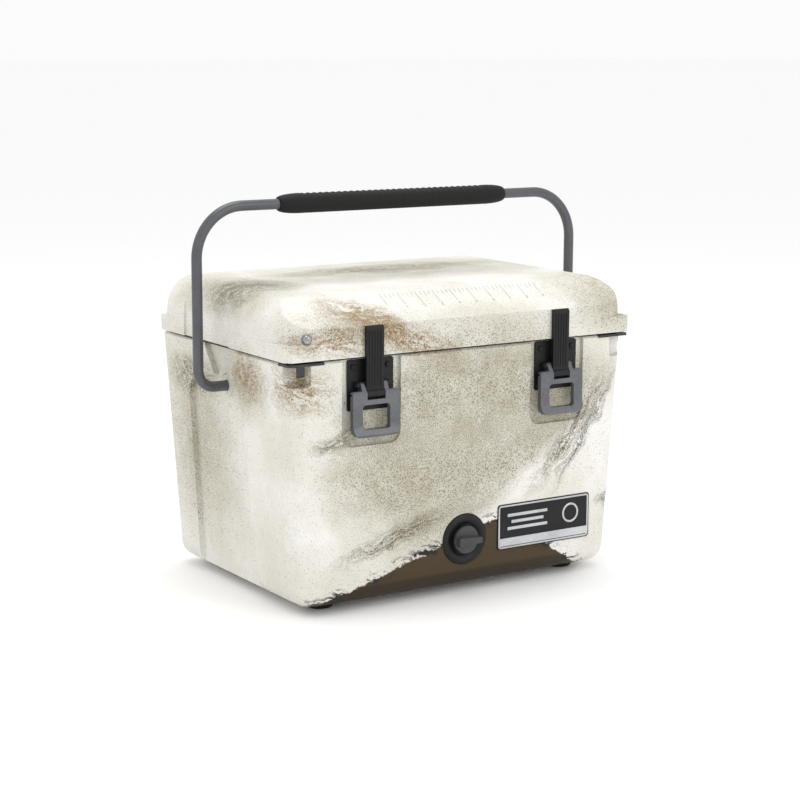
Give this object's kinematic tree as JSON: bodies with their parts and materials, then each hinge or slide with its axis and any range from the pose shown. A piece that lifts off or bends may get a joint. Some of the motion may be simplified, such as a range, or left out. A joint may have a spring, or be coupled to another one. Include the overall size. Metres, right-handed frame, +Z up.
{
  "type": "cooler chest",
  "caption": "Hard insulated cooler chest with a hinged lid, draw latches, a swinging bail handle with a soft grip, a drain plug and rubber feet.",
  "frame": {"origin": "centre of the bounding box at the floor, under the rubber feet", "axes": "+X to the right seen from the front, +Z up, and the front with the latches faces -Y"},
  "size_m": [0.575, 0.3649, 0.4915],
  "materials": {
    "moulded_polyethylene": "rotationally moulded polyethylene with a printed snow and bark pattern",
    "insulating_foam": "rigid polyurethane foam",
    "stainless_steel": "plain stainless steel",
    "black_rubber": "soft matt black rubber",
    "coated_rod": "dark grey coated steel rod",
    "cast_lever_alloy": "grey die-cast alloy, satin",
    "grey_nylon": "dark grey nylon",
    "black_nylon": "black glass-filled nylon",
    "badge_plate": "pressed metal plate with a dark field and a bright rim"
  },
  "bodies": {
    "tub": {"badge": "badge_plate", "bail_bush_left": "black_nylon", "bail_bush_right": "black_nylon", "drain_bezel": "black_nylon", "drain_nut": "black_nylon", "foot_front_left": "black_rubber", "foot_front_right": "black_rubber", "foot_rear_left": "black_rubber", "foot_rear_right": "black_rubber", "foot_screw_front_left": "stainless_steel", "foot_screw_front_right": "stainless_steel", "foot_screw_rear_left": "stainless_steel", "foot_screw_rear_right": "stainless_steel", "hinge_pin_left": "stainless_steel", "hinge_pin_right": "stainless_steel", "hinge_tub_leaf_left": "black_nylon", "hinge_tub_leaf_right": "black_nylon", "hinge_tub_screw_left_1": "stainless_steel", "hinge_tub_screw_left_2": "stainless_steel", "hinge_tub_screw_right_1": "stainless_steel", "hinge_tub_screw_right_2": "stainless_steel", "latch_base_left": "black_nylon", "latch_base_right": "black_nylon", "latch_pivot_pin_left": "stainless_steel", "latch_pivot_pin_right": "stainless_steel", "latch_screw_left_1": "stainless_steel", "latch_screw_left_2": "stainless_steel", "latch_screw_right_1": "stainless_steel", "latch_screw_right_2": "stainless_steel", "lock_plate_left": "stainless_steel", "lock_plate_right": "stainless_steel", "lock_plate_screw_left": "stainless_steel", "lock_plate_screw_right": "stainless_steel", "tub_fill_plug": "black_nylon", "tub_foam": "insulating_foam", "tub_shell": "moulded_polyethylene"},
    "lid": {"lid_shell": "moulded_polyethylene", "lid_foam": "insulating_foam", "lid_gasket": "black_rubber", "lid_vent_screw": "stainless_steel", "hinge_lid_leaf_left": "black_nylon", "hinge_lid_leaf_right": "black_nylon", "hinge_lid_screw_left_1": "stainless_steel", "hinge_lid_screw_left_2": "stainless_steel", "hinge_lid_screw_right_1": "stainless_steel", "hinge_lid_screw_right_2": "stainless_steel"},
    "bail": {"bail_rod": "coated_rod", "bail_grip": "black_rubber"},
    "latch_lever_left": {"latch_lever_left": "cast_lever_alloy", "latch_link_pin_left": "stainless_steel"},
    "latch_link_left": {"latch_link_left": "black_nylon"},
    "latch_lever_right": {"latch_lever_right": "cast_lever_alloy", "latch_link_pin_right": "stainless_steel"},
    "latch_link_right": {"latch_link_right": "black_nylon"},
    "drain_seal": {"drain_seal": "black_rubber"},
    "drain_plug": {"drain_plug": "grey_nylon"}
  },
  "joints": [
    {"name": "lid_hinge", "type": "hinge", "parent": "tub", "child": "lid", "pos_m": [0, 0.176, 0.31], "axis": [-1, 0, 0], "range_deg": [0, 20]},
    {"name": "bail_swing", "type": "hinge", "parent": "tub", "child": "bail", "pos_m": [0, 0, 0.26], "axis": [1, 0, 0], "range_deg": [-120, 120]},
    {"name": "latch_lever_left", "type": "hinge", "parent": "tub", "child": "latch_lever_left", "pos_m": [-0.137, -0.169, 0.277], "axis": [-1, 0, 0], "range_deg": [0, 100]},
    {"name": "latch_link_left", "type": "hinge", "parent": "latch_lever_left", "child": "latch_link_left", "pos_m": [-0.137, -0.1735, 0.267], "axis": [-1, 0, 0], "range_deg": [-115, 0]},
    {"name": "latch_lever_right", "type": "hinge", "parent": "tub", "child": "latch_lever_right", "pos_m": [0.137, -0.169, 0.277], "axis": [-1, 0, 0], "range_deg": [0, 100]},
    {"name": "latch_link_right", "type": "hinge", "parent": "latch_lever_right", "child": "latch_link_right", "pos_m": [0.137, -0.1735, 0.267], "axis": [-1, 0, 0], "range_deg": [-115, 0]},
    {"name": "drain_plug_slide", "type": "slide", "parent": "tub", "child": "drain_seal", "axis": [0, -1, 0], "range_m": [0, 0.0063]},
    {"name": "drain_plug_turn", "type": "hinge", "parent": "drain_seal", "child": "drain_plug", "pos_m": [0, -0.167, 0.069], "axis": [0, -1, 0], "range_deg": [0, 900]}
  ],
  "couplings": [
    {"joint": "latch_link_left", "follows": "latch_lever_left", "ratio": -1.15},
    {"joint": "latch_link_right", "follows": "latch_lever_right", "ratio": -1.15},
    {"joint": "drain_plug_slide", "follows": "drain_plug_turn", "m_per_rad": 0.0004}
  ]
}
